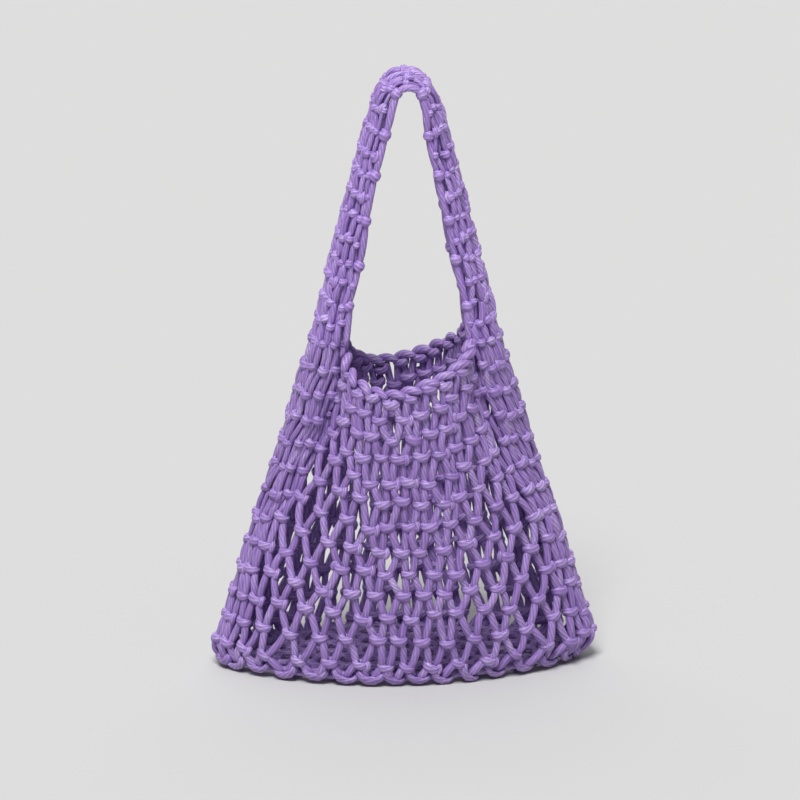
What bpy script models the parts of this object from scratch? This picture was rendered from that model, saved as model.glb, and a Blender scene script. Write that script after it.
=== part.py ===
"""Net market bag: a macrame tote of thick ribbed cord that stands on its own lens-shaped base.

The bag is worked in alternating knots. Each knot here is a ridged bar, and pairs of strands run from it
to the two knots above and the two below. The solids show the net at a coarser step than the fine work.
X runs across the bag, the front looks to -Y, Z is up, and the origin is at the bottom centre.
"""

import math

import bpy
import numpy as np

# Cord and strands, in metres.
STRAND_HALF_WIDTH = 0.0035
STRAND_HALF_THICKNESS = 0.0028
STRAND_SPREAD = 0.0032
STRAND_STATIONS = (0.3, 0.7)
ARCH_STATIONS = (0.2, 0.4, 0.6, 0.8)
END_SHRINK = 0.8
CLEARANCE = 0.0003

# Knots: how many strands leave each side, their pitch, and the rise of a bar's ends.
PORTS = 4
PORT_PITCH = 0.0076
KNOT_SMILE = 0.0016
KNOT_END_TAPER = 0.75
# Rows of a knot from its lower to its upper edge, as offset along the net and half thickness.
KNOT_ROWS = (
    (-0.0080, 0.0028),
    (-0.0045, 0.0056),
    (0.0000, 0.0037),
    (0.0045, 0.0056),
    (0.0080, 0.0028),
)

# Net body: eight columns of knots round the bag, rows by height.
COLUMNS = 8
COLUMN_ANGLE = math.tau / COLUMNS
ROW_HEIGHTS = (0.052, 0.120, 0.190, 0.258)
# Rows of the body's profile, as height, half width and half depth.
BODY_PROFILE = (
    (0.000, 0.170, 0.066),
    (0.012, 0.174, 0.071),
    (0.033, 0.176, 0.074),
    (0.063, 0.165, 0.075),
    (0.121, 0.1445, 0.074),
    (0.180, 0.128, 0.072),
    (0.240, 0.111, 0.069),
    (0.298, 0.093, 0.065),
    (0.340, 0.083, 0.062),
)
LENS_POWER = 1.5
LENS_ROUNDING = 0.12
LENS_BEND = 0.20

# Mouth: the straps curl into a C at each side, and the panels bulge between their edges.
MOUTH_FROM = 0.085
MOUTH_TO = 0.300
STRAP_HALF_ANGLE = math.radians(35)
PANEL_HALF_WIDTH = 0.061
RIM_LOW = 0.284
RIM_RISE = 0.034
RIM_RADIUS = 0.0052
RIM_BEADS = 13
RIM_BEAD_WAIST = 0.72
RIM_END_ANGLE = math.radians(43)
RIM_STRAND_ANGLES = (48, 60, 72, 84, 96, 108, 120, 132)

# Handle: its outer line from the shoulder to the middle of the bag, as distance from the middle and height.
HANDLE_LINE = (
    (0.0862, 0.327),
    (0.0722, 0.386),
    (0.0575, 0.444),
    (0.0428, 0.503),
    (0.0350, 0.532),
    (0.0255, 0.561),
    (0.0155, 0.576),
    (0.0000, 0.5825),
)
# Section of the handle by height, as height, curl angle in degrees, curl radius across and along Y.
HANDLE_SECTIONS = (
    (0.300, 130, 0.0205, 0.0260),
    (0.420, 122, 0.0170, 0.0260),
    (0.520, 108, 0.0130, 0.0255),
    (0.583, 100, 0.0110, 0.0250),
)
HANDLE_ROWS = (0.016, 0.094, 0.172)
HANDLE_KNOT_ACROSS = 0.5
APEX_PORTS = 8
# Where each strap's strands sit on the body's top knots, as column and port, from its back edge to its front.
STRAP_SEATS = {
    -1: ((3, 2), (3, 3), (4, 0), (4, 1), (4, 2), (4, 3), (5, 0), (5, 1)),
    1: ((1, 1), (1, 0), (0, 3), (0, 2), (0, 1), (0, 0), (7, 3), (7, 2)),
}

# Base: a flat lens of edge cord with strands tied across it.
BASE_HALF_WIDTH = 0.173
BASE_HALF_DEPTH = 0.067
BASE_HEIGHT = 0.0100
BASE_RIDGES = 36
BASE_RIDGE = 0.0016
# Profile of the edge cord seen along the cord, as distance outwards and height.
BASE_PROFILE = (
    (0.0040, 0.0000),
    (0.0062, 0.0045),
    (0.0032, 0.0100),
    (-0.0032, 0.0100),
    (-0.0050, 0.0056),
    (-0.0050, 0.0000),
)
BASE_PROFILE_OUTER = 1
BASE_PROFILE_INNER_TOP = 4
BASE_PROFILE_INNER_BOTTOM = 5
# Stretches of the edge cord that carry a strand, counted from the middle of the back both ways.
BASE_STRAND_STEP = 4
BASE_STRANDS_EACH_WAY = 4

# Dye of each piece's cord: the handle's top is the palest and the base the deepest.
BODY_DYE = (0.29, 0.15, 0.53)
HANDLE_DYE = (0.36, 0.22, 0.60)
MOUTH_DYE = (0.32, 0.18, 0.56)
BASE_DYE = (0.22, 0.11, 0.43)


def clear_scene():
    """Removes every object that the file starts with."""
    for obj in list(bpy.data.objects):
        bpy.data.objects.remove(obj)


def cord_material(name, colour):
    """Matte dyed cotton cord."""
    material = bpy.data.materials.new(name)
    material.use_nodes = True
    shader = material.node_tree.nodes["Principled BSDF"]
    shader.inputs["Base Color"].default_value = (*colour, 1.0)
    shader.inputs["Roughness"].default_value = 0.75
    shader.inputs["Metallic"].default_value = 0.0
    return material


def smooth(value, table, column):
    """Cubic curve through one column of a table, at a value of its first column."""
    keys = np.array([row[0] for row in table])
    values = np.array([row[column] for row in table])
    slopes = np.gradient(values, keys)
    at = int(np.clip(np.searchsorted(keys, value) - 1, 0, len(keys) - 2))
    gap = keys[at + 1] - keys[at]
    s = float(np.clip((value - keys[at]) / gap, 0.0, 1.0))
    start = (1 + 2 * s) * (1 - s) ** 2 * values[at] + s * (1 - s) ** 2 * gap * slopes[at]
    end = s * s * (3 - 2 * s) * values[at + 1] + s * s * (s - 1) * gap * slopes[at + 1]
    return start + end


def smoothstep(low, high, value):
    s = min(max((value - low) / (high - low), 0.0), 1.0)
    return s * s * (3 - 2 * s)


def lens_point(angle, half_width, half_depth):
    """Point of the lens-shaped section: an ellipse drawn in towards its two side corners."""
    turn = angle + LENS_BEND * math.sin(2 * angle)
    side = math.sin(turn)
    pinch = (side * side + LENS_ROUNDING) ** ((LENS_POWER - 1) / 2)
    full = (1 + LENS_ROUNDING) ** ((LENS_POWER - 1) / 2)
    return np.array((half_width * math.cos(turn), half_depth * side * pinch / full))


def handle_curl(height):
    """Curl angle and the two radii of the strap's C-shaped section."""
    angle, across, along_y = (smooth(height, HANDLE_SECTIONS, column) for column in (1, 2, 3))
    return math.radians(angle), across, along_y


def mouth_point(angle, height, half_width, half_depth):
    """Point of the section at the mouth: a C-shaped strap at each side and a round panel between them."""
    from_side = math.asin(abs(math.sin(angle)))
    sign_x = 1.0 if math.cos(angle) >= 0 else -1.0
    sign_y = 1.0 if math.sin(angle) >= 0 else -1.0
    curl, radius_x, radius_y = handle_curl(height)
    edge_y = radius_y * math.sin(curl)
    if from_side < STRAP_HALF_ANGLE:
        turn = curl * from_side / STRAP_HALF_ANGLE
        x = half_width - radius_x * (1 - math.cos(turn))
        y = radius_y * math.sin(turn)
    else:
        turn = (math.pi / 2 - from_side) / (math.pi / 2 - STRAP_HALF_ANGLE) * math.pi / 2
        edge_x = half_width - radius_x * (1 - math.cos(curl))
        bulge = PANEL_HALF_WIDTH - edge_x
        x = (edge_x + bulge * math.cos(turn) ** 0.5) * math.sin(turn)
        y = edge_y + (half_depth - edge_y) * math.cos(turn)
    return np.array((sign_x * x, sign_y * y))


def body_section(angle, height):
    """Point of the wall's middle surface, seen from above."""
    half_width = smooth(height, BODY_PROFILE, 1)
    half_depth = smooth(height, BODY_PROFILE, 2)
    share = smoothstep(MOUTH_FROM, MOUTH_TO, height)
    low = lens_point(angle, half_width, half_depth)
    high = mouth_point(angle, height, half_width, half_depth)
    return (1 - share) * low + share * high


def body_surface(angle, height, out):
    """Point of the bag's wall, `out` metres outside its middle surface."""
    reach = math.radians(3)
    point = body_section(angle, height)
    along = body_section(angle + reach, height) - body_section(angle - reach, height)
    normal = np.array((along[1], -along[0])) / np.linalg.norm(along)
    point = point + normal * out
    return np.array((point[0], point[1], height))


def handle_path():
    """Points of the handle's outer line, closely spaced, from the left shoulder to the right one."""
    half = np.array(HANDLE_LINE)
    corners = np.vstack([half * (-1, 1), half[-2::-1]])
    lengths = np.concatenate([[0.0], np.cumsum(np.linalg.norm(np.diff(corners, axis=0), axis=1))])
    table_x = list(zip(lengths, corners[:, 0]))
    table_z = list(zip(lengths, corners[:, 1]))
    steps = np.linspace(0.0, lengths[-1], 361)
    line = np.array([(smooth(s, table_x, 1), smooth(s, table_z, 1)) for s in steps])
    walked = np.concatenate([[0.0], np.cumsum(np.linalg.norm(np.diff(line, axis=0), axis=1))])
    return walked, line


HANDLE_WALKED, HANDLE_POINTS = handle_path()
HANDLE_LENGTH = float(HANDLE_WALKED[-1])


def handle_line(along):
    """Point of the handle's outer line, as x and z, at a distance from the left shoulder."""
    x = np.interp(along, HANDLE_WALKED, HANDLE_POINTS[:, 0])
    z = np.interp(along, HANDLE_WALKED, HANDLE_POINTS[:, 1])
    return np.array((x, z))


def handle_surface(across, along, out):
    """Point of the handle: across runs from -1 at its back edge to 1 at its front edge."""
    reach = 0.012
    point = handle_line(along)
    low, high = max(along - reach, 0.0), min(along + reach, HANDLE_LENGTH)
    tangent = handle_line(high) - handle_line(low)
    tangent = tangent / np.linalg.norm(tangent)
    outwards = np.array((-tangent[1], tangent[0]))
    curl, radius_x, radius_y = handle_curl(float(point[1]))
    turn = curl * across
    slope = np.array((math.cos(turn) * radius_y, math.sin(turn) * radius_x))
    slope = slope / np.linalg.norm(slope)
    drop = -radius_x * (1 - math.cos(turn)) + out * slope[0]
    y = -radius_y * math.sin(turn) - out * slope[1]
    place = point + outwards * drop
    return np.array((place[0], y, place[1]))


class Net:
    """Points and faces of one knotted piece on a surface with the coordinates across and along."""

    def __init__(self, surface):
        self.surface = surface
        self.points = []
        self.faces = []

    def point(self, place):
        self.points.append(tuple(float(value) for value in place))
        return len(self.points) - 1

    def scale(self, across, along):
        """Metres of the surface in one unit of across."""
        step = 0.01
        gap = self.surface(across + step, along, 0.0) - self.surface(across - step, along, 0.0)
        return np.linalg.norm(gap) / (2 * step)

    def shifted(self, across, along, sideways, out):
        """New point, sideways metres to the right of a place and out metres outside it."""
        return self.point(self.surface(across + sideways / self.scale(across, along), along, out))

    def knot(self, across, along, ports=PORTS, closed_above=(), closed_below=()):
        """Ridged bar. Returns its lower and upper ports, each as four corners and its middle."""
        scale = self.scale(across, along)
        middle = ports / 2
        front, back = [], []
        for offset, thickness in KNOT_ROWS:
            front.append([])
            back.append([])
            for edge in range(ports + 1):
                sideways = (edge - middle) * PORT_PITCH
                rise = KNOT_SMILE * ((edge - middle) / middle) ** 2
                half = thickness * (KNOT_END_TAPER if edge in (0, ports) else 1.0)
                place = (across + sideways / scale, along + offset + rise)
                front[-1].append(self.point(self.surface(*place, half)))
                back[-1].append(self.point(self.surface(*place, -half)))
        top = len(KNOT_ROWS) - 1
        for row in range(top):
            for port in range(ports):
                a, b = (row, port), (row + 1, port + 1)
                self.faces.append((front[a[0]][a[1]], front[a[0]][b[1]], front[b[0]][b[1]], front[b[0]][a[1]]))
                self.faces.append((back[a[0]][a[1]], back[b[0]][a[1]], back[b[0]][b[1]], back[a[0]][b[1]]))
            self.faces.append((back[row][0], front[row][0], front[row + 1][0], back[row + 1][0]))
            self.faces.append((front[row][-1], back[row][-1], back[row + 1][-1], front[row + 1][-1]))
        below, above = [], []
        for port in range(ports):
            sideways = (port + 0.5 - middle) * PORT_PITCH
            for row, found in ((0, below), (top, above)):
                ring = (front[row][port], front[row][port + 1], back[row][port + 1], back[row][port])
                found.append((ring, across + sideways / scale, along + KNOT_ROWS[row][0]))
            if port in closed_above:
                self.cap(above[-1][0], 1)
            if port in closed_below:
                self.cap(below[-1][0], -1)
        return below, above

    def cap(self, ring, side):
        """Closes a ring: side is 1 where the strand ends upwards and -1 where it ends downwards."""
        self.faces.append(ring if side > 0 else ring[::-1])

    def join(self, low, high):
        """Four faces between two rings, the second one further along."""
        for k in range(4):
            n = (k + 1) % 4
            self.faces.append((low[k], low[n], high[n], high[k]))

    def ring(self, across, along, sideways):
        """Cross-section of a strand."""
        wide, thick = STRAND_HALF_WIDTH, STRAND_HALF_THICKNESS
        corners = ((-wide, thick), (wide, thick), (wide, -thick), (-wide, -thick))
        return tuple(self.shifted(across, along, sideways + u, w) for u, w in corners)

    def strand(self, low, high, rank, stations=STRAND_STATIONS):
        """Strand from one port to another, bowed sideways by its rank within its bundle."""
        rings = [low[0]]
        for share in stations:
            across = low[1] + (high[1] - low[1]) * share
            along = low[2] + (high[2] - low[2]) * share
            rings.append(self.ring(across, along, rank * STRAND_SPREAD))
        rings.append(high[0])
        for first, second in zip(rings, rings[1:]):
            self.join(first, second)

    def free_end(self, across, height, half_width, side):
        """Closed end of a strand whose corners follow the line height(across)."""
        scale = self.scale(across, height(across))
        thick = STRAND_HALF_THICKNESS * END_SHRINK
        corners = ((-1, thick), (1, thick), (1, -thick), (-1, -thick))
        ring = []
        for u, w in corners:
            at = across + u * half_width / scale
            ring.append(self.point(self.surface(at, height(at), w)))
        self.cap(tuple(ring), side)
        return tuple(ring), across, height(across)

    def seated_end(self, seat, side, lift):
        """Closed end of a strand on another piece's port, drawn in and lifted off it by the clearance."""
        corners = np.array(seat)
        centre = corners.mean(axis=0)
        raised = centre + np.array((0.0, 0.0, lift))
        ring = tuple(self.point(raised + (corner - centre) * END_SHRINK) for corner in corners)
        self.cap(ring, side)
        return ring

    def corners(self, ring):
        return [np.array(self.points[index]) for index in ring]


def add_object(name, points, faces, material):
    """Mesh object with its faces shaded smooth between the sharp edges of the strands."""
    mesh = bpy.data.meshes.new(name)
    mesh.from_pydata(points, [], faces)
    mesh.materials.append(material)
    mesh.shade_smooth()
    mesh.set_sharp_from_angle(angle=math.radians(40))
    obj = bpy.data.objects.new(name, mesh)
    bpy.context.scene.collection.objects.link(obj)
    return obj


def rank_of(port, ports=PORTS):
    """-1 or 1: which way a strand bows away from its bundle's middle."""
    return -1 if port % (ports // 2) < ports // 4 else 1


def rim_height(angle):
    """Height of the mouth's edge: lowest at the middle of the panel."""
    from_middle = math.acos(abs(math.sin(angle)))
    return RIM_LOW + RIM_RISE * (from_middle / (math.pi / 2 - STRAP_HALF_ANGLE)) ** 2


def below_rim(angle):
    return rim_height(angle) - RIM_RADIUS * math.sin(math.pi / 3) - 2 * CLEARANCE


def above_base(angle):
    return BASE_HEIGHT + CLEARANCE


def panel_of(angle):
    """Half of the wall that a knot belongs to: the right side column is worked with the back, the left one
    with the front."""
    return "back" if (angle + 1e-6) % math.tau < math.pi else "front"


def loose_ports(angle):
    """Lower ports of a knot whose strands come from the other half of the wall."""
    half = PORTS // 2
    neighbours = [angle + (-0.5 if port < half else 0.5) * COLUMN_ANGLE for port in range(PORTS)]
    return [port for port, below in enumerate(neighbours) if panel_of(below) != panel_of(angle)]


def body_knots(nets, strap_ports):
    """Every knot of the wall, row by row, as its net, lower ports and upper ports."""
    rows = []
    for row, height in enumerate(ROW_HEIGHTS):
        shift = 0.5 if row % 2 == 0 else 0.0
        knots = []
        for column in range(COLUMNS):
            angle = (column + shift) * COLUMN_ANGLE
            net = nets[panel_of(angle)]
            above = strap_ports[column] if row == len(ROW_HEIGHTS) - 1 else ()
            below = loose_ports(angle) if row else ()
            knots.append((net, *net.knot(angle, height, closed_above=above, closed_below=below)))
        rows.append(knots)
    return rows


def link_rows(rows):
    """Two bundles of strands from each knot up to its two neighbours in the next row."""
    half = PORTS // 2
    for row, (lower, upper) in enumerate(zip(rows, rows[1:])):
        for column, (net, _, above) in enumerate(lower):
            left = column if row % 2 == 0 else (column - 1) % COLUMNS
            right = (left + 1) % COLUMNS
            for port in range(half):
                for target, start, end in ((left, port, port + half), (right, port + half, port)):
                    other, below, _ = upper[target]
                    low, high = above[start], below[end]
                    turn = round((low[1] - high[1]) / math.tau) * math.tau
                    ring = high[0]
                    if other is not net:
                        ring = net.seated_end(other.corners(ring), 1, -CLEARANCE)
                    net.strand(low, (ring, high[1] + turn, high[2]), rank_of(start))


def build_body(material):
    """Wall of the bag in two halves. Returns the corners of the ports that carry the straps, by column
    and port."""
    nets = {"front": Net(body_surface), "back": Net(body_surface)}
    strap_ports = {column: [] for column in range(COLUMNS)}
    seats = STRAP_SEATS[-1] + STRAP_SEATS[1]
    for column, port in seats:
        strap_ports[column].append(port)
    rows = body_knots(nets, strap_ports)
    link_rows(rows)
    for column, (net, below, _) in enumerate(rows[0]):
        for port, low in enumerate(below):
            angle = (column + 0.5 + (port - (PORTS - 1) / 2) / PORTS) * COLUMN_ANGLE
            net.strand(net.free_end(angle, above_base, STRAND_HALF_WIDTH, -1), low, 0)
    for start, columns in ((0, (1, 2, 3)), (180, (5, 6, 7))):
        ends = iter(RIM_STRAND_ANGLES)
        for column in columns:
            net, _, above = rows[-1][column]
            for port in range(PORTS):
                if port in strap_ports[column]:
                    continue
                angle = math.radians(start + next(ends))
                end = net.free_end(angle, below_rim, STRAND_HALF_WIDTH * END_SHRINK, 1)
                net.strand(above[port], end, 0)
    for name, net in nets.items():
        add_object("net_" + name, net.points, net.faces, material)
    tops = {}
    for column, port in seats:
        net, _, above = rows[-1][column]
        tops[column, port] = net.corners(above[port][0])
    return tops


def straight(net, first_ring, last_ring):
    """Strand whose rings lie on a straight line between two others."""
    first = np.array(net.corners(first_ring))
    last = np.array(net.corners(last_ring))
    low, high = first.mean(axis=0), last.mean(axis=0)
    rings = [first_ring]
    for share in STRAND_STATIONS:
        centre = low + (high - low) * share
        shape = (first - low) * (1 - share) + (last - high) * share
        rings.append(tuple(net.point(centre + corner) for corner in shape))
    rings.append(last_ring)
    for one, two in zip(rings, rings[1:]):
        net.join(one, two)


def build_handle(tops, material):
    """Strap over the bag: two knots, one knot and two knots on each side, and one broad bar at the top."""
    net = Net(handle_surface)
    half = PORTS // 2
    low, mid, high = HANDLE_ROWS
    sides = []
    for side in (-1, 1):
        along = [value if side < 0 else HANDLE_LENGTH - value for value in HANDLE_ROWS]
        pair = [net.knot(sign * HANDLE_KNOT_ACROSS, along[0]) for sign in (-1, 1)]
        one = net.knot(0.0, along[1])
        top = [net.knot(sign * HANDLE_KNOT_ACROSS, along[2]) for sign in (-1, 1)]
        sides.append((pair, one, top))
    apex = net.knot(0.0, HANDLE_LENGTH / 2, ports=APEX_PORTS)
    for side, (pair, one, top) in zip((-1, 1), sides):
        up, down = (1, 0) if side < 0 else (0, 1)

        def link(lower, upper, rank, stations=STRAND_STATIONS):
            ends = (lower, upper) if side < 0 else (upper, lower)
            net.strand(*ends, rank, stations)

        for port in range(half):
            link(pair[0][up][port + half], one[down][port], rank_of(port))
            link(pair[1][up][port], one[down][port + half], rank_of(port))
            link(one[up][port], top[0][down][port + half], rank_of(port))
            link(one[up][port + half], top[1][down][port], rank_of(port))
            link(pair[0][up][port], top[0][down][port], rank_of(port))
            link(pair[1][up][port + half], top[1][down][port + half], rank_of(port))
        for port in range(PORTS):
            link(top[0][up][port], apex[down][port], 0, ARCH_STATIONS)
            link(top[1][up][port], apex[down][port + PORTS], 0, ARCH_STATIONS)
        for place, port in zip(STRAP_SEATS[side], pair[0][down] + pair[1][down]):
            seat = tops[place]
            if side < 0:
                straight(net, net.seated_end(seat, side, CLEARANCE), port[0])
            else:
                turned = (seat[1], seat[0], seat[3], seat[2])
                straight(net, port[0], net.seated_end(turned, side, CLEARANCE))
    add_object("handle_strap", net.points, net.faces, material)


def build_rim(name, middle, material):
    """Cord along one edge of the mouth, thickened bead by bead where the strands are hitched to it."""
    net = Net(body_surface)
    start = middle - math.pi / 2 + RIM_END_ANGLE
    end = middle + math.pi / 2 - RIM_END_ANGLE
    stations = 2 * RIM_BEADS + 1
    rings = []
    for station in range(stations):
        angle = start + (end - start) * station / (stations - 1)
        radius = RIM_RADIUS * (RIM_BEAD_WAIST if station % 2 == 0 else 1.0)
        ring = []
        for corner in range(6):
            turn = math.tau * corner / 6
            height = rim_height(angle) + radius * math.sin(turn)
            ring.append(net.point(body_surface(angle, height, radius * math.cos(turn))))
        rings.append(ring)
    for first, second in zip(rings, rings[1:]):
        for k in range(6):
            n = (k + 1) % 6
            net.faces.append((first[k], second[k], second[n], first[n]))
    net.faces.append(tuple(rings[0]))
    net.faces.append(tuple(rings[-1][::-1]))
    add_object(name, net.points, net.faces, material)


def base_surface(angle, height, out):
    """Point near the edge of the flat base."""
    reach = math.radians(2)
    point = lens_point(angle, BASE_HALF_WIDTH, BASE_HALF_DEPTH)
    ahead = lens_point(angle + reach, BASE_HALF_WIDTH, BASE_HALF_DEPTH)
    behind = lens_point(angle - reach, BASE_HALF_WIDTH, BASE_HALF_DEPTH)
    along = ahead - behind
    point = point + np.array((along[1], -along[0])) / np.linalg.norm(along) * out
    return np.array((point[0], point[1], height))


def build_base(material):
    """Flat base: a ridged edge cord round a lens, and strands tied from its front to its back."""
    net = Net(base_surface)
    stations = 2 * BASE_RIDGES
    rings = []
    for station in range(stations):
        angle = math.tau * (station + 0.5) / stations
        ring = []
        for corner, (out, height) in enumerate(BASE_PROFILE):
            if corner == BASE_PROFILE_OUTER and station % 2:
                out += BASE_RIDGE
            ring.append(net.point(base_surface(angle, height, out)))
        rings.append(ring)
    top, bottom = BASE_PROFILE_INNER_TOP, BASE_PROFILE_INNER_BOTTOM
    count = len(BASE_PROFILE)
    middle = stations // 4 - 1
    reach = BASE_STRAND_STEP * BASE_STRANDS_EACH_WAY
    tied = set(range(middle - reach, middle + reach + 1, BASE_STRAND_STEP))
    mirrored = {stations - 2 - station for station in tied}
    for station in range(stations):
        first, second = rings[station], rings[(station + 1) % stations]
        for k in range(count):
            n = (k + 1) % count
            if k == top and (station in tied or station in mirrored):
                continue
            net.faces.append((first[k], second[k], second[n], first[n]))
    for station in tied:
        mirror = stations - 2 - station
        far, near = (rings[station], rings[station + 1]), (rings[mirror], rings[mirror + 1])
        net.faces.append((near[0][top], near[1][top], far[0][top], far[1][top]))
        net.faces.append((near[1][bottom], near[0][bottom], far[1][bottom], far[0][bottom]))
        net.faces.append((near[1][bottom], far[0][bottom], far[0][top], near[1][top]))
        net.faces.append((far[1][bottom], near[0][bottom], near[0][top], far[1][top]))
    add_object("base_net", net.points, net.faces, material)


def main():
    clear_scene()
    mouth_cord = cord_material("mouth_cord", MOUTH_DYE)
    tops = build_body(cord_material("body_cord", BODY_DYE))
    build_handle(tops, cord_material("handle_cord", HANDLE_DYE))
    build_rim("mouth_cord_back", math.pi / 2, mouth_cord)
    build_rim("mouth_cord_front", 3 * math.pi / 2, mouth_cord)
    build_base(cord_material("base_cord", BASE_DYE))


if __name__ == "__main__":
    main()
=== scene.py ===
"""Looks of a knotted market bag: every strand, knot, rope and loop of thick ribbed cord, on its plain solids.

The net is a lattice. A place on it has a column, counted round the bag from the middle of the right side,
and a row, counted up from the base. Even rows have their knots on whole columns and odd rows half a column
on, and every knot sends one strand to each of its two neighbours in the row above and in the row below.
"""

import math

import bpy
import numpy as np
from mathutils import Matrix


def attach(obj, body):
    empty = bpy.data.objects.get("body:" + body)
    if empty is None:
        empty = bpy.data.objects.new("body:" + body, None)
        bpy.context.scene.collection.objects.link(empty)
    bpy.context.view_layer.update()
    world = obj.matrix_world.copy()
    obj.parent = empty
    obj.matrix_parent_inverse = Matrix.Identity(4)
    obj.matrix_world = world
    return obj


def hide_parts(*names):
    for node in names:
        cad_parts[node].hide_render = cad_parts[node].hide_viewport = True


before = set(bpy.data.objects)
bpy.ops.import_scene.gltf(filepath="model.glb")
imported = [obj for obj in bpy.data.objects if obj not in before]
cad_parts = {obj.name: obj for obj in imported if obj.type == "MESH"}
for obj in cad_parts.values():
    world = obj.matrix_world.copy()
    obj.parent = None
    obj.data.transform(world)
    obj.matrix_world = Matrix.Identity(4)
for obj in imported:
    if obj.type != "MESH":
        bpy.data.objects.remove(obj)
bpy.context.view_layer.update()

BODY = "root"

bl_info = {
    "name": "Knotted market bag",
    "version": (1, 0, 0),
    "blender": (4, 5, 0),
    "location": "View3D > Sidebar > Market bag",
    "description": "Builds a macrame net bag of ribbed cord on its frame, with floor, light and camera",
    "category": "Object",
}

# Columns round the bag, and how many of them make one strap.
COLUMNS = 40
HALF_ROUND = COLUMNS // 2
STRAP_COLUMNS = 9
STRAP_EDGE = STRAP_COLUMNS / 2
STRAP_REACH = STRAP_COLUMNS // 2
TURN_PER_COLUMN = math.tau / COLUMNS
QUARTER = math.pi / 2
BACK_MIDDLE = COLUMNS // 4
FRONT_MIDDLE = 3 * COLUMNS // 4
PANEL_REACH = BACK_MIDDLE - STRAP_EDGE

# Rows of the wall, bottom to top: the row, its height at the middle of a panel and at the straps' edges.
# The lowest one holds the wraps that lie on the floor.
WALL_ROWS = (
    (-1, 0.0076, 0.0090),
    (0, 0.0200, 0.0260),
    (1, 0.0450, 0.0500),
    (2, 0.0690, 0.0745),
    (3, 0.0900, 0.0990),
    (4, 0.1095, 0.1240),
    (5, 0.1325, 0.1490),
    (6, 0.1550, 0.1735),
    (7, 0.1780, 0.1980),
    (8, 0.1995, 0.2225),
    (9, 0.2205, 0.2470),
    (10, 0.2405, 0.2715),
    (11, 0.2615, 0.2960),
    (12, 0.2820, 0.3200),
)
FLOOR_ROW = WALL_ROWS[0][0]
TOP_ROW = WALL_ROWS[-1][0]
# Rows waver up and down: waves round the bag, waves for each row, and height.
ROW_WAVES = (
    (11, 0.9, 0.0013),
    (7, 2.1, 0.0011),
)
# Pleats beside the straps: column, half width in columns, and share of the depth that is drawn in.
PLEATS = (
    (24.7, 1.1, 0.42),
    (35.5, 1.0, 0.10),
    (4.6, 1.2, 0.13),
    (15.4, 1.2, 0.15),
)
PLEAT_HEIGHTS = (0.08, 0.17)
# Each rim hangs lower on the left of its middle and higher on the right of it, and the back one sags.
RIM_SKEW = 0.0085
BACK_SKEW = 0.0070
BACK_SAG = 0.0070
SKEW_ROWS = (7.0, 12.0)
# Rows near the base and near the rim that waver less.
STILL_ROWS = 3.0

# Profile of the wall's middle surface, as height, half width and half depth.
PROFILE = (
    (0.000, 0.1580, 0.0680),
    (0.012, 0.1695, 0.0716),
    (0.022, 0.1762, 0.0734),
    (0.036, 0.1722, 0.0746),
    (0.063, 0.1640, 0.0750),
    (0.121, 0.1465, 0.0740),
    (0.180, 0.1290, 0.0720),
    (0.240, 0.1105, 0.0680),
    (0.298, 0.0912, 0.0640),
    (0.340, 0.0790, 0.0610),
)
# How far the foot of the wall leans to the left, and the height where that ends.
FOOT_LEAN = 0.006
FOOT_HEIGHT = 0.035
# Outer line of the handle from the shoulder to the middle, as distance from the middle and height.
HANDLE_LINE = (
    (0.0838, 0.3200),
    (0.0690, 0.3860),
    (0.0543, 0.4440),
    (0.0396, 0.5030),
    (0.0320, 0.5300),
    (0.0235, 0.5560),
    (0.0140, 0.5690),
    (0.0000, 0.5735),
)
HANDLE_SAMPLES = 721
# Length of the handle for each row of its knots.
STRAP_PITCH = 0.0216
# Length to each side over which the handle's direction is taken, and the length from a shoulder over which
# its section turns from level to square.
TANGENT_REACH = 0.010
SHOULDER_LENGTH = 0.05
# Section of the straps, as height, curl in degrees, radius across and radius front to back.
STRAP_CURL = (
    (0.000, 126, 0.0360, 0.0300),
    (0.170, 126, 0.0350, 0.0300),
    (0.240, 126, 0.0290, 0.0285),
    (0.300, 126, 0.0205, 0.0265),
    (0.335, 126, 0.0165, 0.0255),
    (0.420, 118, 0.0145, 0.0255),
    (0.520, 106, 0.0115, 0.0245),
    (0.583, 98, 0.0062, 0.0215),
)
# How far the net is turned towards the back at both sides, low down and higher up, so that the front shows
# fewer columns, and the heights between.
SIDE_TURNS = (0.24, 0.34)
TURN_HEIGHTS = (0.03, 0.17)
# Lens section: bend of its angle, power of its pinch, rounding of its corners, and the heights between which
# it turns into the mouth's section. Half width of a panel at the mouth.
LENS_BEND = 0.085
LENS_POWER = 1.5
LENS_ROUNDING = 0.12
FOLD_HEIGHTS = (0.125, 0.315)
PANEL_HALF_WIDTH = 0.061
# Step in columns and rows over which the net's directions are taken.
FRAME_STEP = 0.04

# Column distances between which the strands stop lying one over the other, and how deep the lower ones lie.
WALL_CROWDED = (0.0060, 0.0085)
STRAP_CROWDED = (0.0090, 0.0125)
CROWD_RECESS = 0.0042
# How much thicker the strands of the straps are than the wall's at the same spacing.
STRAP_FULLNESS = 1.13

# Random values are given as mean, deviation, least and most.
# Knots: most slip and most tilt, sizes, and the share of the side loops that lie on the right.
MOST_SLIP = 0.0034
MOST_TILT = 0.24
KNOT_SIZES = (1.0, 0.05, 0.88, 1.14)
RIGHT_LOOPS = 0.75
# A bar's half width is a share of the columns' distance, less a margin for the cord round its end. Below the
# full distance its cord is thinner.
BAR_SHARE = 0.41
BAR_MARGIN = 0.0014
FULL_PITCH = 0.0110
LEAST_THICKNESS = 0.80
# Bars: points round one, where its rise is level, how square its turns are, and its flatness.
BAR_POINTS = 12
BAR_LEVEL = 0.4
BAR_SQUARENESS = 0.8
BAR_FLATNESS = 0.84
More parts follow.
